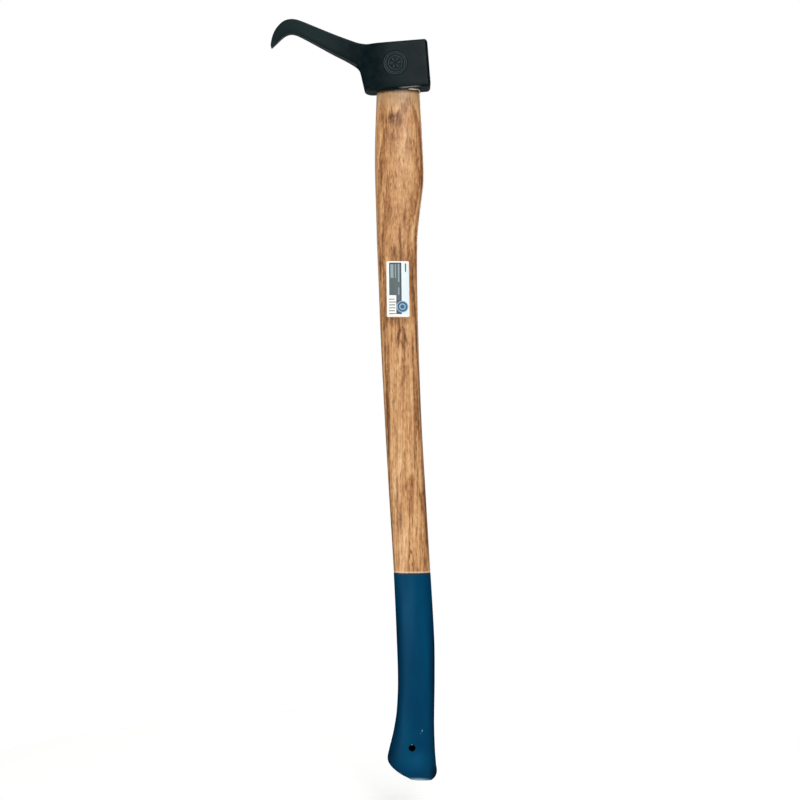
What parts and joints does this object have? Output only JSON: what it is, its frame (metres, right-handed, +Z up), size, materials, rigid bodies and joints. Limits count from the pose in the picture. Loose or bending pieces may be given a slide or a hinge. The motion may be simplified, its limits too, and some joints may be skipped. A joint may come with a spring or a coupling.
{
  "type": "pickaroon",
  "caption": "Long-handled pickaroon: a forged hook head with a curved beak, wedged on a bent wooden handle with a dip-coated grip and a hanging hole.",
  "frame": {"origin": "middle of the eye's mouth, in the plane of the head's underside", "axes": "+Z up along the handle towards the head, +X towards the poll with the beak towards -X, +Y away from the labelled face"},
  "size_m": [0.1802, 0.033, 0.8234],
  "materials": {
    "forged_head": "black paint on forged steel, satin",
    "handle_wood": "hickory, sanded and clear lacquered",
    "wedge_wood": "beech, sawn, bare",
    "wedge_steel": "bare steel, turned",
    "grip_coat": "dipped lacquer, dark blue, glossy",
    "label_paper": "printed paper label"
  },
  "bodies": {
    "root": {"hook_head": "forged_head", "handle": "handle_wood", "eye_wedge": "wedge_wood", "ring_wedge": "wedge_steel", "grip_coating": "grip_coat", "paper_label": "label_paper"}
  },
  "joints": []
}
